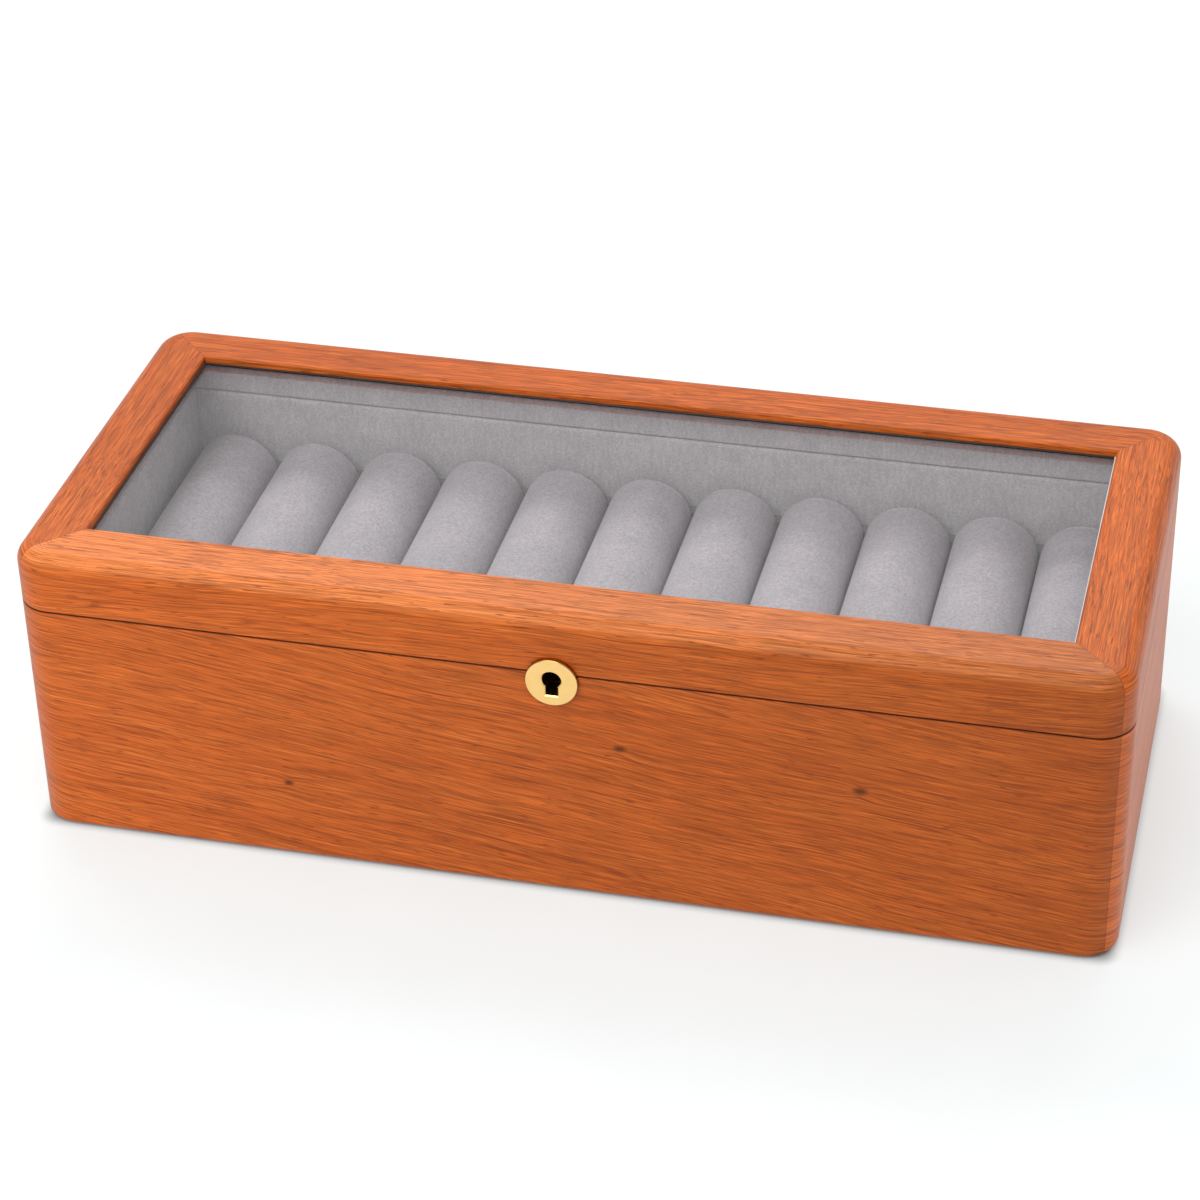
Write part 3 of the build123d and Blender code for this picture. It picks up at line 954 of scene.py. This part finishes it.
@dataclass
class Panel:
    """Padded panel: a board's shape with soft round edges and a slight crown on its broad faces.

    Attributes:
        node: the CAD node that the panel stands for.
        body: the body that it rides on.
        edge: radius of its soft edges.
        crown: how far the middle of its broad face stands out.
        cell: size of its mesh cells.
        head: how far its upper edge stays below the board's.
        ripple: how close the waves of its broad faces are, per metre.
    """

    node: str
    body: str
    edge: float = 1.15 * MM
    crown: float = 0.25 * MM
    cell: float = 3.0 * MM
    head: float = 0.0
    ripple: float = 28.0

    def shape(self) -> bmesh.types.BMesh:
        """Models the panel in the space of its node.

        Returns:
            The geometry.
        """
        low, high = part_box(self.node)
        high = high - Vector((0.0, 0.0, self.head))
        middle, size = (low + high) / 2, high - low
        thin = min(range(3), key=lambda axis: size[axis])
        shape = bmesh.new()
        bmesh.ops.create_cube(shape, size=1.0)
        bmesh.ops.scale(shape, vec=size, verts=shape.verts)
        soften(shape, list(shape.edges), min(self.edge, size[thin] * 0.45), 4)
        self.divide(shape, size, thin)
        for vert in shape.verts:
            inset = min(size[axis] / 2 - abs(vert.co[axis]) for axis in range(3) if axis != thin)
            swell = 1 - math.exp(-max(inset, 0.0) / (6 * self.edge))
            wave = noise.noise((vert.co + middle) * self.ripple)
            depth = self.crown * (swell * (0.6 + 0.4 * wave) - 1.0)
            vert.co[thin] += math.copysign(depth, vert.co[thin])
        bmesh.ops.translate(shape, vec=middle, verts=shape.verts)
        return shape

    def divide(self, shape: bmesh.types.BMesh, size: Vector, thin: int) -> None:
        """Cuts the panel into cells across its broad faces.

        Args:
            shape: the geometry, centred on the origin.
            size: the panel's size.
            thin: the axis of its thickness.
        """
        for axis in range(3):
            if axis == thin:
                continue
            count = int(size[axis] / self.cell)
            normal = Vector((0.0, 0.0, 0.0))
            normal[axis] = 1.0
            for step in range(1, count):
                place = normal * (size[axis] * (step / count - 0.5))
                bmesh.ops.bisect_plane(shape, geom=list(shape.verts) + list(shape.edges) + list(shape.faces),
                                       dist=MERGE / 10, plane_co=place, plane_no=normal)

    def make(self, material: bpy.types.Material) -> None:
        """Builds the panel and puts it in place."""
        piece = finish_piece(f"{self.node}_suede", self.shape(), material, self.body, (self.node,))


@dataclass
class CoveredRail:
    """Notched rail in its suede cover, with soft edges.

    Attributes:
        node: the CAD node that it stands for.
        edge: radius of the soft edges.
        flat: angle in degrees up to which faces count as one.
        sharp: angle in degrees from which an edge is softened.
    """

    node: str
    edge: float = 0.5 * MM
    flat: float = 2.0
    sharp: float = 40.0

    def shape(self) -> bmesh.types.BMesh:
        """Models the cover from a merged copy of the rail's mesh.

        Returns:
            The geometry.
        """
        shape = bmesh.new()
        shape.from_mesh(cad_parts[self.node].data)
        bmesh.ops.remove_doubles(shape, verts=shape.verts, dist=MERGE)
        bmesh.ops.dissolve_limit(shape, angle_limit=math.radians(self.flat), verts=shape.verts, edges=shape.edges)
        edges = [edge for edge in shape.edges if edge.calc_face_angle(0.0) > math.radians(self.sharp)]
        soften(shape, edges, self.edge, 3, held=True)
        return shape

    def make(self, material: bpy.types.Material) -> None:
        """Builds the cover and puts it in place."""
        piece = finish_piece(f"{self.node}_suede", self.shape(), material, "tray", (self.node,))


@dataclass
class Lining:
    """Padded panels of the tray and of the lid, and the covered rails that carry the rolls.

    Attributes:
        sides: the sides that have a panel.
        head: how far the lid's panels stay below the glass.
        floor_crown: how far the middle of the floor pad stands out.
    """

    sides: tuple = ("front", "back", "left", "right")
    head: float = 1.6 * MM
    floor_crown: float = 0.5 * MM

    def make(self, material: bpy.types.Material, shaded: bpy.types.Material) -> None:
        """Builds every panel and both rails.

        Args:
            material: the panels' suede.
            shaded: the rails' suede, painted darker as shade where the rails sit low between the rolls.
        """
        for side in self.sides:
            Panel(f"tray_liner_{side}", "tray").make(material)
            Panel(f"lid_liner_{side}", "lid", head=self.head).make(material)
        Panel("tray_floor_pad", "tray", crown=self.floor_crown).make(material)
        for side in ("front", "back"):
            CoveredRail(f"roll_rail_{side}").make(shaded)


@dataclass
class Roll:
    """One padded roll: a suede sleeve with a welt at each rim and drawn-in ends.

    Attributes:
        number: the roll's place in the row, from 1 at the left.
        steps: facets round the roll.
        welt: radius of the bead at each rim.
        bore: radius of the hole for the core.
        slack: how far the sleeve stays inside its solid.
        skin: depth to which dents and seam reach.
        dent: depth of the dents.
        closeness: how close the dents are, per metre.
        seam_depth: depth of the seam along the underside.
        seam_width: half width of the seam.
    """

    number: int
    steps: int = 96
    welt: float = 0.45 * MM
    bore: float = 8.1 * MM
    slack: float = 0.05 * MM
    skin: float = 1.5 * MM
    dent: float = 0.09 * MM
    closeness: float = 45.0
    seam_depth: float = 0.35 * MM
    seam_width: float = 0.5 * MM

    @property
    def node(self) -> str:
        """Name of the CAD node that the sleeve stands for."""
        return f"roll_cover_{self.number:02d}"

    def profile(self, radius: float, half: float) -> list:
        """Half outline of the sleeve as pairs of distance from the axis and place along it.

        Args:
            radius: the sleeve's outer radius.
            half: half of its length.

        Returns:
            Points from the bore at one end to the bore at the other.
        """
        bead = self.welt
        drawn_in = [(self.bore, half - 0.3 * MM), (radius * 0.62, half - 0.05 * MM),
                    (radius * 0.8, half - 0.25 * MM), (radius - 2.6 * bead, half - 0.55 * MM)]
        middle = (radius - bead - 0.05 * MM, half - bead - 0.15 * MM)
        turns = [math.radians(150 - 30 * step) for step in range(8)]
        welt = [(middle[0] + bead * math.cos(turn), middle[1] + bead * math.sin(turn)) for turn in turns]
        neck = [(radius - 0.30 * MM, half - 3.0 * bead), (radius - 0.12 * MM, half - 3.0 * MM)]
        side = drawn_in + welt + neck + [(radius, half * share) for share in (0.9, 0.75, 0.5, 0.25)]
        return side + [(radius, 0.0)] + [(distance, -place) for distance, place in reversed(side)]

    def shape(self) -> bmesh.types.BMesh:
        """Models the sleeve in the space of its node.

        Returns:
            The geometry.
        """
        low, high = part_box(self.node)
        middle, size = (low + high) / 2, high - low
        radius, half = size.x / 2 - self.slack, size.y / 2
        shape = bmesh.new()
        row = [shape.verts.new((distance, place, 0.0)) for distance, place in self.profile(radius, half)]
        edges = [shape.edges.new(pair) for pair in zip(row, row[1:])]
        bmesh.ops.spin(shape, geom=row + edges, cent=(0, 0, 0), axis=(0, 1, 0), angle=math.tau,
                       steps=self.steps, use_merge=True)
        own = Vector((self.number * 7.3, 0, 0))
        for vert in shape.verts:
            distance = math.hypot(vert.co.x, vert.co.z)
            if distance > radius - self.skin:
                place = Vector((vert.co.x, vert.co.y * 0.5, vert.co.z)) * self.closeness + own
                dent = self.dent * (noise.noise(place) - 0.4)
                seam = math.exp(-((vert.co.x / self.seam_width) ** 2)) if vert.co.z < 0 else 0.0
                factor = 1 + (dent - self.seam_depth * seam) / distance
                vert.co.x *= factor
                vert.co.z *= factor
        bmesh.ops.translate(shape, vec=middle, verts=shape.verts)
        return shape

    def make(self, suede: bpy.types.Material, timber: bpy.types.Material) -> None:
        """Builds the sleeve and dresses the core.

        Args:
            suede: the sleeve's finish.
            timber: the core's finish.
        """
        body = f"roll_{self.number:02d}"
        piece = finish_piece(f"{self.node}_suede", self.shape(), suede, body, (self.node,))
        dress(f"roll_core_{self.number:02d}", timber)


@dataclass
class RollRack:
    """All the rolls, side by side.

    Attributes:
        prefix: what the names of the sleeves' nodes begin with.
    """

    prefix: str = "roll_cover_"

    def make(self, suede: bpy.types.Material, timber: bpy.types.Material) -> None:
        """Builds the rolls.

        Args:
            suede: the sleeves' finish.
            timber: the cores' finish.
        """
        count = sum(name.startswith(self.prefix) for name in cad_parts)
        for number in range(1, count + 1):
            Roll(number).make(suede, timber)


@dataclass
class FeltBase:
    """Felt sheet under the box, which keeps the outline of its node.

    Attributes:
        node: the CAD node that it stands for.
        corner: radius of its corners.
        rim: radius of its soft rims.
    """

    node: str = "base_felt"
    corner: float = 8.0 * MM
    rim: float = 0.3 * MM

    def shape(self) -> bmesh.types.BMesh:
        """Models the sheet from the outline of its node.

        Returns:
            The geometry.
        """
        low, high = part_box(self.node)
        shape = bmesh.new()
        bmesh.ops.create_cube(shape, size=1.0)
        bmesh.ops.scale(shape, vec=high - low, verts=shape.verts)
        upright = [edge for edge in shape.edges if not self.level(edge)]
        soften(shape, upright, self.corner, 8)
        rims = [edge for edge in shape.edges if self.level(edge) and edge.calc_face_angle(0.0) > 1.0]
        soften(shape, rims, self.rim, 2)
        bmesh.ops.translate(shape, vec=(low + high) / 2, verts=shape.verts)
        return shape

    def level(self, edge: bmesh.types.BMEdge) -> bool:
        """Whether an edge lies level."""
        return abs(edge.verts[0].co.z - edge.verts[1].co.z) < MERGE

    def make(self, material: bpy.types.Material) -> None:
        """Builds the sheet and lays it under the box.

        Args:
            material: its finish.
        """
        piece = finish_piece("base_felt_sheet", self.shape(), material, "tray", (self.node,))


@dataclass
class Woodwork:
    """Walls of the tray and rails of the lid.

    Attributes:
        knots: pin knots of the tray's front.
    """

    knots: tuple = (Knot(23.5, 66.6, 1.0), Knot(108.8, 61.3, 1.1), Knot(-100.1, 32.9, 0.8))

    def make(self, timber: bpy.types.Material) -> None:
        """Dresses every board in its own cut of cherry.

        Args:
            timber: finish of the bottom panel.
        """
        base = {"seed": 0.0, "drift": 0.12, "tone": 1.14}
        boards = (
            # fade paints shade on the tray front and the lid front, darker towards their right ends.
            Cherry("cherry_tray_front", Run.LENGTH, knots=self.knots, fade=0.32, **base),
            Cherry("cherry_tray_back", Run.LENGTH, seed=1900.0, drift=-0.03),
            Cherry("cherry_tray_left", Run.DEPTH, seed=700.0, drift=0.02),
            Cherry("cherry_tray_right", Run.DEPTH, **base),
            # The lid front gets a painted highlight on its top round-over and top face.
            Cherry("cherry_lid_front", Run.LENGTH, seed=3100.0, drift=-0.006, tone=1.20, fade=0.40, top_highlight=0.5),
            Cherry("cherry_lid_back", Run.LENGTH, seed=4300.0, drift=0.015, tone=1.05),
            Cherry("cherry_lid_left", Run.DEPTH, seed=5500.0, drift=0.03, tone=1.03),
            Cherry("cherry_lid_right", Run.DEPTH, seed=6700.0, drift=-0.02, tone=1.05),
        )
        for board in boards:
            part, side = board.name.split("_")[1:]
            dress(f"base_{side}_wall" if part == "tray" else f"lid_{side}_rail", board.build())
        dress("base_bottom_panel", timber)


@dataclass
class ShadowBead:
    """Thin bead round the lip of the lid, on the glass, which carries the painted shadow under the lip.

    Attributes:
        width: how far it stands out from the lip.
        height: how far it stands up from the glass.
        gap: room between the bead and what it touches.
        round_over: share of the height that is rounded over.
    """

    width: float = 0.6 * MM
    height: float = 0.95 * MM
    gap: float = 0.01 * MM
    round_over: float = 0.35

    def shape(self) -> bmesh.types.BMesh:
        """Models the bead from the lid's opening.

        Returns:
            The geometry.
        """
        half_x = -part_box("lid_left_rail")[1].x - self.gap
        half_y = -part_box("lid_front_rail")[1].y - self.gap
        shape = bmesh.new()
        bmesh.ops.create_grid(shape, x_segments=1, y_segments=1, size=1.0)
        bmesh.ops.scale(shape, vec=(half_x, half_y, 1.0), verts=shape.verts)
        inner = list(shape.faces)
        bmesh.ops.inset_region(shape, faces=inner, thickness=self.width, use_boundary=True,
                               use_even_offset=True)
        bmesh.ops.delete(shape, geom=inner, context="FACES")
        raised = bmesh.ops.extrude_face_region(shape, geom=list(shape.faces))["geom"]
        verts = [item for item in raised if isinstance(item, bmesh.types.BMVert)]
        bmesh.ops.translate(shape, vec=(0.0, 0.0, self.height), verts=verts)
        top = [edge for edge in shape.edges if all(vert.co.z > self.height / 2 for vert in edge.verts)
               and edge.calc_face_angle(0.0) > 1.0]
        soften(shape, top, self.height * self.round_over, 2)
        bmesh.ops.translate(shape, vec=(0.0, 0.0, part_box("lid_glass")[1].z + self.gap), verts=shape.verts)
        return shape

    def make(self, material: bpy.types.Material) -> None:
        """Builds the bead and puts it in place."""
        finish_piece("lid_glazing_bead", self.shape(), material, "lid", ())


@dataclass
class Metalwork:
    """Hinges, lock and screws: polished where they show, and painted dark inside the lock, as its shade.

    Attributes:
        prefixes: what the names of the metal nodes begin with.
        hidden: nodes inside the lock.
    """

    prefixes: tuple = ("hinge_", "lock_", "base_screws", "lid_screws")
    hidden: tuple = ("lock_barrel", "lock_bolt", "lock_cover")

    def make(self, polished: bpy.types.Material, dull: bpy.types.Material) -> None:
        """Dresses every metal node.

        Args:
            polished: finish of the metal that shows.
            dull: finish of the lock's inside, painted dark as shade.
        """
        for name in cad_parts:
            if name.startswith(self.prefixes):
                # The lock's inner parts take the finish that is painted dark as shade.
                dress(name, dull if name in self.hidden else polished)


# Studio


@dataclass(frozen=True)
class Lamp:
    """Soft rectangular light.

    Attributes:
        name: the light's name.
        place: where it hangs.
        size: its width and height.
        power: in watts.
        aim: the point that it faces.
    """

    name: str
    place: tuple
    size: tuple
    power: float
    aim: tuple = (0.0, 0.0, 0.06)

    def hang(self) -> None:
        """Hangs the light."""
        data = bpy.data.lights.new(self.name, "AREA")
        data.shape = "RECTANGLE"
        data.size, data.size_y = self.size
        data.energy = self.power
        light = bpy.data.objects.new(self.name, data)
        light.location = self.place
        light.rotation_euler = (Vector(self.place) - Vector(self.aim)).to_track_quat("Z", "Y").to_euler()
        bpy.context.scene.collection.objects.link(light)


@dataclass
class Studio:
    """Pale floor, soft light and the camera at the photograph's angle.

    Attributes:
        azimuth: angle of the camera to the right of the front, in degrees.
        elevation: its angle above the horizon, in degrees.
        roll: its turn about its own line of sight, in degrees.
        distance: from the camera to the target.
        target: the point that it looks at.
        lens: focal length in millimetres.
        sensor: width of the sensor in millimetres.
        floor_size: width of the floor.
        floor_tones: the floor's two close colours.
        floor_glow: colour of its glow.
        glow: strength of its glow.
        shadow: how far inside the box's sides the glow's edge, which paints the contact shadow, is measured from,
            in millimetres.
        glow_edge: distances over which the glow sets in again past the painted contact shadow, in millimetres.
        sky: strength of the white light from all round.
        lamps: the soft lights.
    """

    azimuth: float = 14.18
    elevation: float = 33.42
    roll: float = -1.31
    distance: float = 1.2604
    target: tuple = (-0.0043, 0.0, 0.069)
    lens: float = 101.79
    sensor: float = 36.0
    floor_size: float = 12.0
    floor_tones: tuple = ((0.405, 0.433, 0.435, 1.0), (0.415, 0.443, 0.445, 1.0))
    floor_glow: tuple = (0.985, 1.0, 1.0, 1.0)
    glow: float = 0.50
    shadow: tuple = (6.0, 8.0)
    glow_edge: Span = Span(2.0, 9.0)
    sky: float = 0.72
    lamps: tuple = (Lamp("key", (-0.4, -1.15, 1.5), (1.6, 1.3), 20.0),
                    Lamp("overhead", (-0.3, 1.1, 1.5), (1.9, 0.6), 16.0))

    def camera(self) -> None:
        """Places the camera."""
        azimuth, elevation = math.radians(self.azimuth), math.radians(self.elevation)
        back = Vector((math.sin(azimuth) * math.cos(elevation), -math.cos(azimuth) * math.cos(elevation),
                       math.sin(elevation)))
        right = Vector((0, 0, 1)).cross(back).normalized()
        upward = back.cross(right)
        turn = math.radians(self.roll)
        across = right * math.cos(turn) + upward * math.sin(turn)
        up = upward * math.cos(turn) - right * math.sin(turn)
        data = bpy.data.cameras.new("camera")
        data.sensor_width = self.sensor
        data.lens = self.lens
        data.clip_start = 50 * MM
        camera = bpy.data.objects.new("camera", data)
        rows = Matrix((across, up, back)).transposed().to_4x4()
        camera.matrix_world = Matrix.Translation(Vector(self.target) + back * self.distance) @ rows
        bpy.context.scene.collection.objects.link(camera)
        bpy.context.scene.camera = camera

    def floor(self) -> None:
        """Lays the pale floor, which glows a little like a light table, with a painted contact shadow where the
        glow ends round the box.
        """
        shape = bmesh.new()
        bmesh.ops.create_grid(shape, x_segments=1, y_segments=1, size=self.floor_size / 2)
        mesh = bpy.data.meshes.new("floor")
        shape.to_mesh(mesh)
        shape.free()
        graph = Graph.start("pale_floor")
        x, y, z = graph.axes()
        mottle = graph.noise(graph.point(x, y, z), 0.02)
        colour = graph.mix(graph.step(mottle, Span(0.3, 0.7)), *self.floor_tones)
        # Painted contact shadow: the glow fades out close to the box.
        shade = graph.mix(self.painted_contact_shadow(graph, x, y), BLACK, self.floor_glow)
        fixed = {"Emission Strength": self.glow, "Roughness": 0.9, "Specular IOR Level": 0.1}
        mesh.materials.append(graph.principled(fixed, colour=colour, glow=shade))
        floor = bpy.data.objects.new("floor", mesh)
        bpy.context.scene.collection.objects.link(floor)

    def painted_contact_shadow(self, graph: Graph, x: object, y: object) -> bpy.types.NodeSocket:
        """Share of the floor's glow, which ends close to the box and under it: a painted contact shadow.

        Args:
            graph: the floor's graph.
            x: the first coordinate.
            y: the second coordinate.

        Returns:
            The share.
        """
        past = []
        for place, half, inset in zip((x, y), CAD_BOUNDS[1] / MM, self.shadow):
            outside = graph.math("SUBTRACT", graph.math("ABSOLUTE", place), half - inset)
            past.append(graph.math("MAXIMUM", outside, 0.0))
        return graph.step(graph.length(*past), self.glow_edge)

    def light(self) -> None:
        """Sets the sky and the soft lights."""
        world = bpy.data.worlds.new("studio")
        world.use_nodes = True
        world.node_tree.nodes["Background"].inputs[0].default_value = WHITE
        world.node_tree.nodes["Background"].inputs[1].default_value = self.sky
        bpy.context.scene.world = world
        for lamp in self.lamps:
            lamp.hang()

    def make(self) -> None:
        """Builds the studio."""
        self.camera()
        self.floor()
        self.light()
        bpy.context.scene.view_settings.view_transform = "Standard"


def main() -> None:
    """Builds the studio and dresses the box."""
    logging.basicConfig(level=logging.INFO, format="%(message)s")
    Studio().make()
    timber = Timber().build()
    Woodwork().make(timber)
    Metalwork().make(Brass().build(), LockShadeBrass().build())
    dress("lid_glass", Pane().build())
    # The bead on the glass carries painted shadow and a painted highlight.
    ShadowBead().make(ShadowBeadPaint().build())
    panels = Suede("panel_suede", colour=(0.49, 0.465, 0.48, 1.0), strokes=3.0)
    # The rails' suede is painted darker, as shade between the rolls.
    rails = Suede("rail_suede", colour=(0.20, 0.193, 0.2, 1.0))
    Lining().make(panels.build(), rails.build())
    RollRack().make(Suede("roll_suede").build(), timber)
    FeltBase().make(Felt().build())


if __name__ == "__main__":
    main()
